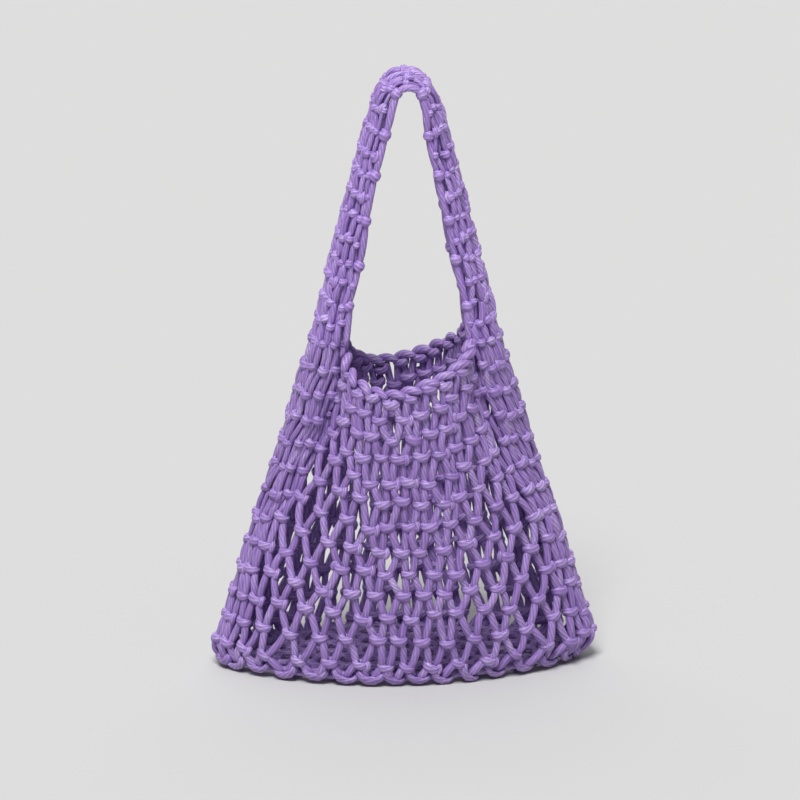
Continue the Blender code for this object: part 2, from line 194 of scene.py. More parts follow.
# Tails: samples, length, place in front of the net at the top, way back, radius and taper over the cord's.
TAIL_SAMPLES = 4
TAIL_LENGTH = 0.0085
TAIL_FRONT = 0.0012
TAIL_DROP_BACK = 0.0022
TAIL_RADIUS = 0.55
TAIL_TAPER = 0.2
# Side loops: samples, half turn in radians, place and reach outwards, rise and height, setback and depth, and
# radius over the cord's.
LOOP_SAMPLES = 7
LOOP_TURN = 1.25
LOOP_INSET = 0.0010
LOOP_REACH = 0.0034
LOOP_RISE = 0.0001
LOOP_HEIGHT = 0.0044
LOOP_BACK = 0.0020
LOOP_DEPTH = 0.0046
LOOP_RADIUS = 0.88
# Strands: samples along one, offset from a knot's middle over the columns' distance, the least of it over the
# cord's radius, and the share of it at the straps' edges.
STRAND_SAMPLES = 8
OFFSET_SHARE = 0.235
LEAST_OFFSET = 0.45
EDGE_OFFSET = 0.6
# Typical sideways bow, swell and its spread, setback, and typical slip in depth of a strand.
BOW_SPREAD = 0.0007
SWELL = 0.0012
SWELL_SPREAD = 0.0007
SETBACK = 0.0004
DEPTH_SPREAD = 0.0008
# Radius of a strand over the columns' distance, what a crowd adds above and takes below, its most and the one
# at the straps' edges over the cord's radius, and its sizes. It narrows inside the knots.
STRAND_SHARE = 0.275
UPPER_GAIN = 0.07
LOWER_LOSS = 0.03
UPPER_LIFT = 0.0004
MOST_RADIUS = 1.13
EDGE_RADIUS = 1.14
STRAND_SIZES = (1.0, 0.05, 0.9, 1.1)
NECK = 0.12
CROWDED_NECK = 0.14
NECK_POWER = 6
# Tones of the knots, the strands and the rim. The knots' mean lies above the strands' as a painted highlight
# on the bars, and the spread is tone that differs at random.
KNOT_TONES_AND_HIGHLIGHT = (0.60, 0.13, 0, 1)
STRAND_TONES = (0.46, 0.18, 0, 1)
RIM_TONES = (0.55, 0.12, 0, 1)

# Tilt of the bars at the edges of the straps, and their half width and thickness over other bars'.
EDGE_LEAN = math.radians(12)
EDGE_BAR_WIDTH = 0.42
EDGE_BAR_THICKNESS = 1.2
STRAP_BAR_DEPTH = 0.85

# Rim: its arcs, their length over their spacing, the samples of one and of the rim's line, and the columns
# that it goes past the panel.
RIM_ARCS = 12
RIM_OVERLAP = 1.30
RIM_SAMPLES = 9
RIM_LINE_SAMPLES = 200
RIM_MARGIN = 0.2
# Typical slip of an arc over the spacing, its least and full hump and their spread, and its depth and spread.
RIM_SLIP = 0.06
RIM_RISE = 0.0008
RIM_HUMP = 0.0042
RIM_HUMP_SPREAD = 0.0009
RIM_DEPTH = 0.0040
RIM_DEPTH_SPREAD = 0.0008
# Radius of an arc at its ends over the cord's, what is added by its middle, and the spread.
RIM_END_RADIUS = 0.55
RIM_SWELL = 0.78
RIM_RADIUS_SPREAD = 0.06
# Columns to each side of a panel's middle with a bar under the rim, and rows from the rim down to it.
RIM_REACH = 5
RIM_BAR_DROP = 0.14

# Wraps on the floor: sideways slips, sizes, tilts and rises, and thickness, width and smile over other bars'.
WRAP_SLIPS = (0.0, 0.0012, -0.003, 0.003)
WRAP_SIZES = (1.0, 0.07, 0.85, 1.15)
FLOOR_TILT = math.radians(9)
WRAP_TILTS = (0.0, FLOOR_TILT, -2 * FLOOR_TILT, 2 * FLOOR_TILT)
WRAP_RISES = (0.0008, 0.0010, 0.0, 0.0025)
WRAP_THICKNESS = 0.95
WRAP_WIDTH = 1.85
WRAP_SMILE = 3.9
# The slack cord between them: setback, bow inwards, sag, and its radius over the cord's.
SLACK_SETBACK = 0.0014
SLACK_BOW = 0.0012
SLACK_SAG = 0.0020
SLACK_RADIUS = 0.95

# The flat net under the bag: spacing of its knots along and across, how many of them there may be to each
# side, its height, its share of the outline, and the depth of its bars and strands over the wall's.
BASE_PITCH = (0.0230, 0.0128)
BASE_REACH = (9, 6)
BASE_HEIGHT = 0.0082
BASE_SHARE = 0.90
BASE_FLATNESS = 0.45
BASE_STRAND_DEPTH = 0.3

# Pattern of the cord: ribs round it and how fast they wind, how drawn out its fibres are, and the size of its
# patches. Every cord's pattern starts at another place in the span.
RIBS = 6.0
TWIST = 4.0
FIBRE_STRETCH = (19.0, 2.2, 1.0)
PATCH_SCALE = 35.0
GOLDEN_SHARE = 0.618034
PATTERN_SPAN = 7.0
# Share of each in the cord's lightness, less a constant, and the lightness between its colours. Low lightness
# gives the deep colour and high the pale one. Where the ribs drive them they are painted shade in the grooves
# and a painted highlight on the crests, and where the fibres, tone and patches drive them they are the cord's
# own random tone.
RIB_LIGHT, FIBRE_LIGHT, TONE_LIGHT, PATCH_LIGHT, LIGHT_LOSS = 0.22, 0.74, 0.28, 0.08, 0.20
DEEP_TO_BASE = (0.0, 0.55)
BASE_TO_PALE = (0.42, 1.0)
# Share of each in the bump, and the finish.
RIB_HEIGHT, FIBRE_HEIGHT = 0.45, 0.75
BUMP_STRENGTH, BUMP_DISTANCE = 0.8, 0.0009
SPECULAR, SHEEN, SHEEN_ROUGHNESS = 0.70, 0.20, 0.45
# Painted light and shade on the other pieces: their colours over the wall's, lighter on the handle and the
# mouth higher up, and darker on the base low down.
HANDLE_PAINTED_LIGHT, MOUTH_PAINTED_LIGHT, BASE_PAINTED_SHADE = 1.20, 1.02, 0.95

# Stage: half the floor's side, its finish, the light from all round, and the lamps as name, turn about the
# level and the upright axis, width in the sky, all in degrees, and strength.
FLOOR_REACH = 12.0
FLOOR_ROUGHNESS, FLOOR_SPECULAR = 0.9, 0.1
WORLD_LIGHT = 0.22
LAMPS = (
    ("key", 27, -18, 24, 3.35),
    ("behind", -38, 6, 70, 0.8),
)


class CordSettings(bpy.types.PropertyGroup):
    """Sizes of the cord and of what is tied with it."""

    radius: bpy.props.FloatProperty(
        name="Cord radius", description="Half the thickness of the cord",
        default=0.0032, min=0.001, max=0.006, unit="LENGTH")
    bar_half_width: bpy.props.FloatProperty(
        name="Bar half width",
        description="From the middle of a knot's bar to the middle of the cord at its end",
        default=0.0056, unit="LENGTH")
    bar_least_width: bpy.props.FloatProperty(
        name="Least bar half width", description="Half width of a bar where the net is drawn close",
        default=0.0012, unit="LENGTH")
    bar_height: bpy.props.FloatProperty(
        name="Bar height", description="Height of a bar over the cord's thickness, where it is pulled flat",
        default=1.34)
    bar_half_depth: bpy.props.FloatProperty(
        name="Bar half depth",
        description="From the middle of a knot to the middle of the cord in front of it",
        default=0.0039, unit="LENGTH")
    bar_smile: bpy.props.FloatProperty(
        name="Bar smile", description="How far the ends of a bar rise above its middle",
        default=0.0012, unit="LENGTH")
    strand_gap: bpy.props.FloatProperty(
        name="Strand offset", description="From a knot's middle to each of the strands in it",
        default=0.0030, unit="LENGTH")
    unevenness: bpy.props.FloatProperty(
        name="Unevenness", description="Typical slip of a knot from its place in the net",
        default=0.0017, unit="LENGTH")
    tilt: bpy.props.FloatProperty(
        name="Tilt", description="Typical tilt of a knot's bar",
        default=math.radians(8), subtype="ANGLE")
    lean: bpy.props.FloatProperty(
        name="Lean", description="Tilt that every bar has, down to its right",
        default=math.radians(8), subtype="ANGLE")
    side_loop_share: bpy.props.FloatProperty(
        name="Side loops",
        description="Share of the knots whose cord shows as a small upright loop at one end",
        default=0.22, min=0.0, max=1.0, subtype="FACTOR")


class DyeSettings(bpy.types.PropertyGroup):
    """Colours and finish of the cord, with painted shade for its grooves and painted highlight for its ribs.
    """

    base: bpy.props.FloatVectorProperty(
        name="Dye", description="Main colour of the cord", subtype="COLOR", size=3,
        default=(0.312, 0.184, 0.530), min=0.0, max=1.0)
    # Pale: partly the fibres' own pale streaks and partly painted highlight on the crests of the ribs.
    pale: bpy.props.FloatVectorProperty(
        name="Pale fibres", description="Colour of the raised, worn fibres", subtype="COLOR", size=3,
        default=(0.710, 0.620, 0.835), min=0.0, max=1.0)
    # Deep: partly the fibres' own dark and partly painted shade in the grooves between the ribs.
    deep: bpy.props.FloatVectorProperty(
        name="Deep grooves", description="Colour between the ribs", subtype="COLOR", size=3,
        default=(0.140, 0.068, 0.265), min=0.0, max=1.0)
    roughness: bpy.props.FloatProperty(
        name="Roughness", description="Roughness of the brushed cotton", default=0.48, min=0.0, max=1.0)


class StageSettings(bpy.types.PropertyGroup):
    """Floor, light and camera."""

    floor: bpy.props.FloatVectorProperty(
        name="Floor", description="Colour of the seamless floor", subtype="COLOR", size=3,
        default=(0.534, 0.533, 0.532), min=0.0, max=1.0)
    elevation: bpy.props.FloatProperty(
        name="Camera elevation", description="Angle of the view above the horizon",
        default=math.radians(18), subtype="ANGLE")
    azimuth: bpy.props.FloatProperty(
        name="Camera azimuth", description="Angle of the camera round the bag, to the right of its front",
        default=math.radians(-4), subtype="ANGLE")
    distance: bpy.props.FloatProperty(
        name="Camera distance", description="From the camera to the middle of the bag",
        default=8.0, unit="LENGTH")
    lens: bpy.props.FloatProperty(name="Lens", description="Focal length in millimetres", default=386.7)
    target: bpy.props.FloatVectorProperty(
        name="Target", description="Point at the middle of the picture", subtype="TRANSLATION", size=3,
        default=(-0.005, 0.0, 0.257))


def curve_through(at, table, column):
    """Cubic curve through one column of a table, over its first column: each stretch is a Hermite cubic
    whose end slopes are the slopes of the chord between the neighbouring rows."""
    rows = np.array(table)
    keys, values = rows[:, 0], rows[:, column]
    slopes = np.gradient(values, keys)
    at = np.asarray(at, float)
    low = np.clip(np.searchsorted(keys, at) - 1, 0, len(keys) - 2)
    gap = keys[low + 1] - keys[low]
    s = np.clip((at - keys[low]) / gap, 0.0, 1.0)
    start = (1 + 2 * s) * (1 - s) ** 2 * values[low] + s * (1 - s) ** 2 * gap * slopes[low]
    end = s * s * (3 - 2 * s) * values[low + 1] + s * s * (s - 1) * gap * slopes[low + 1]
    return start + end


def ease(low, high, at):
    """0 below low, 1 above high, and 3s^2 - 2s^3 between them."""
    s = np.clip((np.asarray(at, float) - low) / (high - low), 0.0, 1.0)
    return s * s * (3 - 2 * s)


def unit(vectors):
    """Vectors of length 1 in the same directions."""
    return vectors / np.maximum(np.linalg.norm(vectors, axis=-1, keepdims=True), 1e-12)


def turned(right, up, angle):
    """Both directions turned by an angle in their own plane."""
    return right * np.cos(angle) + up * np.sin(angle), up * np.cos(angle) - right * np.sin(angle)


def lens_section(angle, half_width, half_depth):
    """Ellipse drawn in towards its side corners: x is the cosine, and y the sine times a power of its own
    size, so that the ends are pinched. The angle is bent so that places lie further apart near the corners,
    more so on the front."""
    turn = angle + LENS_BEND * (1 - np.sin(angle)) * np.sin(2 * angle)
    side = np.sin(turn)
    pinch = ((side * side + LENS_ROUNDING) / (1 + LENS_ROUNDING)) ** ((LENS_POWER - 1) / 2)
    return half_width * np.cos(turn), half_depth * side * pinch


def strap_curl(height):
    """Curl angle, radius across and radius front to back of a strap at a height."""
    curl, across, deep = (curve_through(height, STRAP_CURL, column) for column in (1, 2, 3))
    return np.radians(curl), across, deep


def mouth_section(angle, height, half_width, half_depth):
    """Section at the mouth: at each side an arc of the strap's ellipse, and between the straps a quarter
    round that swells from the strap's edge to the middle of the panel."""
    from_side = np.arcsin(np.abs(np.sin(angle)))
    edge = STRAP_EDGE * TURN_PER_COLUMN
    curl, across, deep = strap_curl(height)
    (strap_x, strap_y), (edge_x, edge_y) = (
        (half_width - across * (1 - np.cos(turn)), deep * np.sin(turn))
        for turn in (curl * from_side / edge, curl))
    on_panel = np.clip((QUARTER - from_side) / (QUARTER - edge), 0, 1) * QUARTER
    bulge = (PANEL_HALF_WIDTH - edge_x) * np.sqrt(np.maximum(np.cos(on_panel), 0))
    panel_x = (edge_x + bulge) * np.sin(on_panel)
    panel_y = edge_y + (half_depth - edge_y) * np.cos(on_panel)
    strap = from_side < edge
    x = np.where(strap, strap_x, panel_x) * np.where(np.cos(angle) >= 0, 1, -1)
    y = np.where(strap, strap_y, panel_y) * np.where(np.sin(angle) >= 0, 1, -1)
    return x, y


def wall_at(column, height):
    """Point of the wall at a height: the lens section low down turns into the mouth's section higher up, and
    bell curves draw the pleats in."""
    angle = column * TURN_PER_COLUMN
    half_width, half_depth = (curve_through(height, PROFILE, at) for at in (1, 2))
    side_turn = SIDE_TURNS[0] + (SIDE_TURNS[1] - SIDE_TURNS[0]) * ease(*TURN_HEIGHTS, height)
    low_x, low_y = lens_section(angle + side_turn * np.cos(angle), half_width, half_depth)
    high_x, high_y = mouth_section(angle, height, half_width, half_depth)
    share = ease(*FOLD_HEIGHTS, height)
    y = low_y + (high_y - low_y) * share
    for middle, reach, drawn in PLEATS:
        y = y * (1 - drawn * np.exp(-((column - middle) / reach) ** 2) * ease(*PLEAT_HEIGHTS, height))
    x = low_x + (high_x - low_x) * share - FOOT_LEAN * (1 - ease(0.0, FOOT_HEIGHT, height))
    return np.stack([x, y, height], -1)


def wall_height(column, row):
    """Height of a row: its value at the middle of the panel, rising with the square of the distance from
    there to its value at the straps' edges, and level across the strap. The top rows also swing by a sine
    of that distance, and the rows between the base and the rim waver by sines."""
    angle = column * TURN_PER_COLUMN
    from_middle = np.arccos(np.clip(np.abs(np.sin(angle)), 0, 1))
    share = np.clip(from_middle / (PANEL_REACH * TURN_PER_COLUMN), 0, 1) ** 2
    low, high = (curve_through(row, WALL_ROWS, at) for at in (1, 2))
    along = np.clip((column - FRONT_MIDDLE) / PANEL_REACH, -1, 1)
    behind = np.clip((BACK_MIDDLE - column) / PANEL_REACH, -1, 1)
    swing = RIM_SKEW * np.sin(math.pi * along) + BACK_SKEW * np.sin(math.pi * behind)
    swing = swing - BACK_SAG * (1 - behind ** 2) ** 2
    swing = swing * ease(*SKEW_ROWS, row)
    still = ease(0.0, STILL_ROWS, row) * (1 - ease(TOP_ROW - STILL_ROWS, TOP_ROW, row))
    waves = sum(size * np.sin(around * angle + each * row) for around, each, size in ROW_WAVES)
    return low + (high - low) * share + swing + waves * still


def wall_place(column, row):
    """Point of the wall at a lattice place."""
    column, row = np.broadcast_arrays(column, row)
    return wall_at(column, wall_height(column, row))


def lengths_along(line):
    """Length along a line of points up to each of them: the sum of the steps' lengths."""
    return np.concatenate([[0.0], np.cumsum(np.linalg.norm(np.diff(line, axis=0), axis=1))])


def handle_curve():
    """Lengths along the handle's outer line and its points, from the left shoulder over to the right."""
    half = np.array(HANDLE_LINE)
    corners = np.vstack([half * (-1, 1), half[-2::-1]])
    lengths = lengths_along(corners)
    table = np.column_stack([lengths, corners])
    fine = np.linspace(0.0, lengths[-1], HANDLE_SAMPLES)
    line = np.stack([curve_through(fine, table, at) for at in (1, 2)], -1)
    return lengths_along(line), line


HANDLE_LENGTHS, HANDLE_POINTS = handle_curve()
STRAP_STEPS = 2 * round(HANDLE_LENGTHS[-1] / STRAP_PITCH / 2)
LAST_ROW = TOP_ROW + STRAP_STEPS


def handle_at(length):
    """Point of the handle's outer line at a length along it, as x and z."""
    return np.stack([np.interp(length, HANDLE_LENGTHS, HANDLE_POINTS[:, axis]) for axis in (0, 1)], -1)


def strap_place(column, row):
    """Point of the handle: column runs from the back edge to the front one, and row from the left shoulder
    over the top to the right. The section is an arc of an ellipse, level at the shoulders and square to
    the handle's line above them."""
    column, row = np.broadcast_arrays(column, row)
    total = HANDLE_LENGTHS[-1]
    length = (row - TOP_ROW) / STRAP_STEPS * total
    point = handle_at(length)
    ahead = handle_at(np.minimum(length + TANGENT_REACH, total))
    behind = handle_at(np.maximum(length - TANGENT_REACH, 0))
    tangent = unit(ahead - behind)
    square = np.stack([-tangent[..., 1], tangent[..., 0]], -1)
    level = np.stack([np.where(point[..., 0] < 0, -1.0, 1.0), np.zeros_like(length)], -1)
    from_shoulder = np.minimum(length, total - length)
    share = ease(0.0, SHOULDER_LENGTH, from_shoulder)[..., None]
    outwards = unit(level * (1 - share) + square * share)
    curl, across, deep = strap_curl(point[..., 1])
    turn = curl * column / STRAP_EDGE
    point = point - outwards * (across * (1 - np.cos(turn)))[..., None]
    return np.stack([point[..., 0], -deep * np.sin(turn), point[..., 1]], -1)


def base_place(column, row):
    """Point of the flat net under the bag, which is level."""
    column, row = np.broadcast_arrays(column, row)
    return np.stack([column * BASE_PITCH[0], row * BASE_PITCH[1], np.full(column.shape, BASE_HEIGHT)], -1)


def column_pitch(place, column, row):
    """Distance between neighbouring columns of the net at a place."""
    return np.linalg.norm(place(column + 0.5, row) - place(column - 0.5, row), axis=-1)


def surface_frame(place, column, row):
    """Unit vectors to the right, up the net and outwards, from central differences of a place function."""
    right = place(column + FRAME_STEP, row) - place(column - FRAME_STEP, row)
    up = unit(place(column, row + FRAME_STEP) - place(column, row - FRAME_STEP))
    out = unit(np.cross(right, up))
    return unit(np.cross(up, out)), up, out


def add_object(name, data):
    """New object in the scene."""
    obj = bpy.data.objects.new(name, data)
    bpy.context.scene.collection.objects.link(obj)
    return obj


def add_piece(name, parts, material, node):
    """Piece from arrays of several parts: quads with their corners' coordinates, end caps, and a tone for
    each point. It rides the bag and stands for its solid."""
    points, quads, caps, uvs, tones = join_parts(parts)
    corners = np.concatenate([quads.reshape(-1), caps.reshape(-1)]).astype(np.int32)
    counts = np.concatenate([np.full(len(quads), 4), np.full(len(caps), caps.shape[1])]).astype(np.int32)
    starts = np.concatenate([[0], np.cumsum(counts)[:-1]]).astype(np.int32)
    mesh = bpy.data.meshes.new(name)
    mesh.vertices.add(len(points))
    mesh.vertices.foreach_set("co", np.ascontiguousarray(points, np.float32).reshape(-1))
    mesh.loops.add(len(corners))
    mesh.loops.foreach_set("vertex_index", corners)
    mesh.polygons.add(len(counts))
    mesh.polygons.foreach_set("loop_start", starts)
    mesh.polygons.foreach_set("loop_total", counts)
    layer = mesh.uv_layers.new(name="cord")
    flat = np.concatenate([uvs, np.zeros((caps.size, 2))])
    layer.data.foreach_set("uv", flat.astype(np.float32).reshape(-1))
    tone = mesh.attributes.new("tone", "FLOAT", "POINT")
    tone.data.foreach_set("value", np.ascontiguousarray(tones, np.float32))
    mesh.update(calc_edges=True)
    mesh.shade_smooth()
    mesh.materials.append(material)
    obj = add_object(name, mesh)
    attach(obj, BODY)
    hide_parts(node)


def join_parts(parts):
    """One set of arrays from several, with the corner numbers moved on."""
    firsts = np.concatenate([[0], np.cumsum([len(part[0]) for part in parts])[:-1]])
    moved = [(points, quads + first, caps + first, uvs, tones)
             for (points, quads, caps, uvs, tones), first in zip(parts, firsts)]
    return [np.concatenate(arrays) for arrays in zip(*moved)]


def cord_tubes(paths, outs, radii, tones, sides=8, closed=False, widths=(1.0, 1.0)):
    """Round cords along many paths at once. A ring's points lie at even angles on a circle square to the
    path, starting away from outs, so the seam lies behind. The first coordinate is the share of the way
    round, and the second is the length along the path over the length round the cord."""
    count, samples, _ = paths.shape
    if closed:
        tangents = unit(np.roll(paths, -1, 1) - np.roll(paths, 1, 1))
    else:
        tangents = unit(np.gradient(paths, axis=1))
    across = unit(np.cross(outs, tangents))
    lift = np.cross(tangents, across)
    angles = -QUARTER + math.tau * np.arange(sides) / sides
    radii = np.broadcast_to(np.asarray(radii, float), (count, samples))
    ring = (across[..., None, :] * (widths[0] * np.cos(angles))[:, None]
            + lift[..., None, :] * (widths[1] * np.sin(angles))[:, None])
    points = paths[..., None, :] + ring * radii[..., None, None]
    rings = samples if closed else samples - 1
    first = (np.arange(count) * samples * sides)[:, None, None]
    this = (np.arange(rings) * sides)[None, :, None]
    following = ((np.arange(rings) + 1) % samples * sides)[None, :, None]
    side = np.arange(sides)[None, None, :]
    after = (side + 1) % sides
    quads = np.stack([first + this + side, first + this + after, first + following + after,
                      first + following + side], -1).reshape(-1, 4)
    steps = np.linalg.norm(np.roll(paths, -1, 1) - paths, axis=-1)
    walked = np.concatenate([np.zeros((count, 1)), np.cumsum(steps, 1)], 1)
    offsets = np.arange(count) * GOLDEN_SHARE % 1.0 * PATTERN_SPAN
    v = walked / (math.tau * radii.mean()) + offsets[:, None]
    u = np.arange(sides + 1) / sides
    shape = (count, rings, sides)
    low, high = (np.broadcast_to(edge[:, :, None], shape) for edge in (v[:, :rings], v[:, 1:rings + 1]))
    left, right = np.broadcast_to(u[:-1], shape), np.broadcast_to(u[1:], shape)
    uvs = np.stack([left, low, right, low, right, high, left, high], -1).reshape(-1, 2)
    if closed:
        caps = np.zeros((0, sides), int)
    else:
        start = first[:, :, 0] + np.arange(sides)[::-1][None, :]
        end = first[:, :, 0] + (samples - 1) * sides + np.arange(sides)[None, :]
        caps = np.concatenate([start, end])
    tones = np.broadcast_to(np.asarray(tones, float)[:, None, None], (count, samples, sides))
    return points.reshape(-1, 3), quads, caps, uvs, tones.reshape(-1)


def draw(rng, values, size):
    """Normal draws of a mean and a deviation, kept between the least and the most."""
    mean, deviation, least, most = values
    return rng.normal(mean, deviation, size).clip(least, most)


class Knots:
    """A set of knots with their places, frames and small slips, found again by lattice place."""

    def __init__(self, place, columns, rows, cord, seed, still=()):
        rng = np.random.default_rng(seed)
        self.place = place
        self.columns = np.asarray(columns, float)
        self.rows = np.asarray(rows, float)
        count = len(self.rows)
        right, up, out = surface_frame(place, self.columns, self.rows)
        moves = ~np.isin(self.rows, still)
        slip = draw(rng, (0.0, cord.unevenness, -MOST_SLIP, MOST_SLIP), (count, 2)) * moves[:, None]
        self.slip = right * slip[:, :1] + up * slip[:, 1:]
        tilt = (draw(rng, (0.0, cord.tilt, -MOST_TILT, MOST_TILT), count) - cord.lean)[:, None]
        self.right, self.up = turned(right, up, tilt)
        self.out = out
        self.centre = place(self.columns, self.rows) + self.slip
        self.size = draw(rng, KNOT_SIZES, count)
        pitch = column_pitch(place, self.columns, self.rows)
        self.half_width = (pitch * BAR_SHARE - BAR_MARGIN).clip(cord.bar_least_width, cord.bar_half_width)
        self.thickness = (pitch / FULL_PITCH).clip(LEAST_THICKNESS, 1.0)
        self.loop = rng.random(count) < cord.side_loop_share
        self.loop_side = np.where(rng.random(count) < RIGHT_LOOPS, 1.0, -1.0)
        # Painted highlight: knots are lighter on average than strands, with random tone about that.
        self.tone = draw(rng, KNOT_TONES_AND_HIGHLIGHT, count)
        keys = np.rint(2 * np.stack([self.columns, self.rows], -1)).astype(int).tolist()
        self.index = {tuple(key): number for number, key in enumerate(keys)}

    def frames(self, chosen):
        """Middles of some knots and their directions, with room for the samples of a path."""
        return (axis[chosen][:, None, :] for axis in (self.centre, self.right, self.up, self.out))

    def find(self, column, row):
        """Number of the knot at a lattice place, or None."""
        return self.index.get((round(2 * column), round(2 * row)))


def bars(knots, chosen, cord, depth_share=1.0, width_share=1.0, smile_share=1.0):
    """Bar of each chosen knot: a ring of cord round its strands, pulled flat. Along the bar it goes with the
    cosine and in depth with the sine, both to a power that makes it squarer, and its ends are lifted by the
    square of the cosine."""
    angle = math.tau * (np.arange(BAR_POINTS) + 0.5) / BAR_POINTS
    waves = (np.cos(angle), np.sin(angle))
    along, through = (np.sign(wave) * np.abs(wave) ** BAR_SQUARENESS for wave in waves)
    depth = cord.bar_half_depth * through * depth_share
    rise = cord.bar_smile * (np.cos(angle) ** 2 - BAR_LEVEL) * smile_share
    size = knots.size[chosen][:, None, None]
    middle, right, up, out = knots.frames(chosen)
    reach = knots.half_width[chosen][:, None, None] * width_share
    away = right * along[:, None] * reach + out * depth[:, None]
    smile = (knots.half_width[chosen] / cord.bar_half_width)[:, None, None]
    paths = middle + size * (away + up * rise[:, None] * smile)
    radii = cord.radius * (knots.size * knots.thickness)[chosen][:, None]
    widths = (cord.bar_height, BAR_FLATNESS)
    return cord_tubes(paths, unit(away), radii, knots.tone[chosen], closed=True, widths=widths)


def tails(knots, chosen, cord):
    """Short upright end of cord that shows under the middle of each bar."""
    drop = np.linspace(0.0, 1.0, TAIL_SAMPLES)
    middle, _, up, out = knots.frames(chosen)
    paths = middle - up * (TAIL_LENGTH * drop[:, None]) + out * (TAIL_FRONT - TAIL_DROP_BACK * drop[:, None])
    radii = cord.radius * (TAIL_RADIUS - TAIL_TAPER * drop[None, :]) * knots.size[chosen][:, None]
    return cord_tubes(paths, np.broadcast_to(out, paths.shape), radii, knots.tone[chosen])


def side_loops(knots, chosen, cord):
    """Small upright loop at one end of some bars: an arc that leaves the back, passes outside the bar's end
    and returns to the back."""
    chosen = chosen[knots.loop[chosen]]
    turn = np.linspace(-LOOP_TURN, LOOP_TURN, LOOP_SAMPLES)
    along = knots.half_width[chosen][:, None] - LOOP_INSET + LOOP_REACH * np.cos(turn)
    rise = LOOP_RISE + LOOP_HEIGHT * np.sin(turn)
    depth = -LOOP_BACK + LOOP_DEPTH * np.cos(turn)
    side = knots.loop_side[chosen][:, None, None]
    middle, right, up, out = knots.frames(chosen)
    paths = middle + right * side * along[..., None] + up * rise[:, None] + out * depth[:, None]
    outs = np.broadcast_to(unit(out + right * side), paths.shape)
    return cord_tubes(paths, outs, cord.radius * LOOP_RADIUS, knots.tone[chosen])


def links(knots, ends, cord, seed, crowded=WALL_CROWDED, depth_share=1.0, fullness=1.0):
    """Strands between pairs of knots. Each row of ends is the lower knot, the upper one, the steps of column
    and of row between them, and a side for a strand that runs straight up. A strand starts on one side of
    the lower knot's middle and ends on the other side of the upper one's, and swells out between them.
    Where the columns are close together, every other strand is thick and the ones between lie deeper."""
    rng = np.random.default_rng(seed)
    ends = np.asarray(ends, float)
    count = len(ends)
    low, high = ends[:, 0].astype(int), ends[:, 1].astype(int)
    s = np.linspace(0.0, 1.0, STRAND_SAMPLES)[None, :]
    column = knots.columns[low][:, None] + ends[:, 2:3] * s
    row = knots.rows[low][:, None] + ends[:, 3:4] * s
    right, _, out = surface_frame(knots.place, column, row)
    side = np.sign(ends[:, 2:3])
    lone = side == 0
    pitch = column_pitch(knots.place, column, row)
    crowd = 1 - ease(*crowded, pitch)
    parity = np.where(np.rint(knots.rows[low][:, None]) % 2 == 0, 1.0, -1.0)
    over = np.where(lone, 1.0, side * parity)
    gap = (pitch * OFFSET_SHARE).clip(cord.radius * LEAST_OFFSET, cord.strand_gap)
    offset = np.where(lone, ends[:, 4:5] * gap * EDGE_OFFSET, side * gap * (1 - 2 * s))
    bow = np.sin(math.pi * s) * rng.normal(0, BOW_SPREAD, (count, 1))
    depth = np.sin(math.pi * s) * rng.normal(SWELL, SWELL_SPREAD, (count, 1)) * depth_share - SETBACK
    depth = depth + rng.normal(0, DEPTH_SPREAD, (count, 1)) * depth_share
    depth = depth + np.where(over > 0, UPPER_LIFT, -CROWD_RECESS) * crowd * depth_share
    slip = knots.slip[low][:, None, :] * (1 - s[..., None]) + knots.slip[high][:, None, :] * s[..., None]
    paths = knots.place(column, row) + slip + right * (offset + bow)[..., None] + out * depth[..., None]
    share = (STRAND_SHARE + np.where(over > 0, UPPER_GAIN, -LOWER_LOSS) * crowd) * fullness
    thick = np.minimum(cord.radius * MOST_RADIUS, pitch * share) * draw(rng, STRAND_SIZES, (count, 1))
    thick = np.where(lone, cord.radius * EDGE_RADIUS, thick)
    radii = thick * (1 - (NECK + CROWDED_NECK * crowd) * np.cos(math.pi * s) ** NECK_POWER)
    return cord_tubes(paths, out, radii, draw(rng, STRAND_TONES, count))


def diagonal_ends(knots, rows, all_round=False):
    """Ends of the two strands that go up from each knot of these rows."""
    found = []
    for number, (column, row) in enumerate(zip(knots.columns, knots.rows)):
        if row not in rows:
            continue
        for step in (-0.5, 0.5):
            target = (column + step) % COLUMNS if all_round else column + step
            other = knots.find(target, row + 1)
            if other is not None:
                found.append((number, other, step, 1.0, 0.0))
    return found


def wall_knots(cord):
    """Every knot of the wall, with the rim's places in the top row."""
    rows = range(FLOOR_ROW, TOP_ROW + 1)
    places = [(column + 0.5 * (row % 2), row) for row in rows for column in range(COLUMNS)]
    columns, rows = np.array(places).T
    return Knots(wall_place, columns, rows, cord, seed=11, still=(FLOOR_ROW, TOP_ROW))


def strap_knots(cord):
    """Every knot of the handle, with the shoulders' rows at both ends."""
    places = []
    for row in range(TOP_ROW, LAST_ROW + 1):
        across = np.arange(-STRAP_REACH, STRAP_REACH + 1 - row % 2) + 0.5 * (row % 2)
        places += [(column, row) for column in across]
    columns, rows = np.array(places).T
    return Knots(strap_place, columns, rows, cord, seed=23, still=(TOP_ROW, LAST_ROW))


class Value:
    """A shader socket that takes part in arithmetic."""

    def __init__(self, graph, socket):
        self.graph = graph
        self.socket = socket

    def maths(self, operation, *others):
        """A Math node on this value and the others."""
        inputs = dict(enumerate((self, *others)))
        return self.graph.value("ShaderNodeMath", {"operation": operation}, inputs)

    def __add__(self, other):
        return self.maths("ADD", other)

    def __sub__(self, other):
        return self.maths("SUBTRACT", other)

    def __rsub__(self, other):
        return self.maths("MULTIPLY", -1.0) + other

    def __mul__(self, other):
        return self.maths("MULTIPLY", other)

    __radd__ = __add__
    __rmul__ = __mul__

    def between(self, low, high):
        """0 below low, 1 above high, smoothly between."""
        settings = {"interpolation_type": "SMOOTHSTEP"}
        inputs = {"Value": self, "From Min": low, "From Max": high}
        return self.graph.value("ShaderNodeMapRange", settings, inputs)


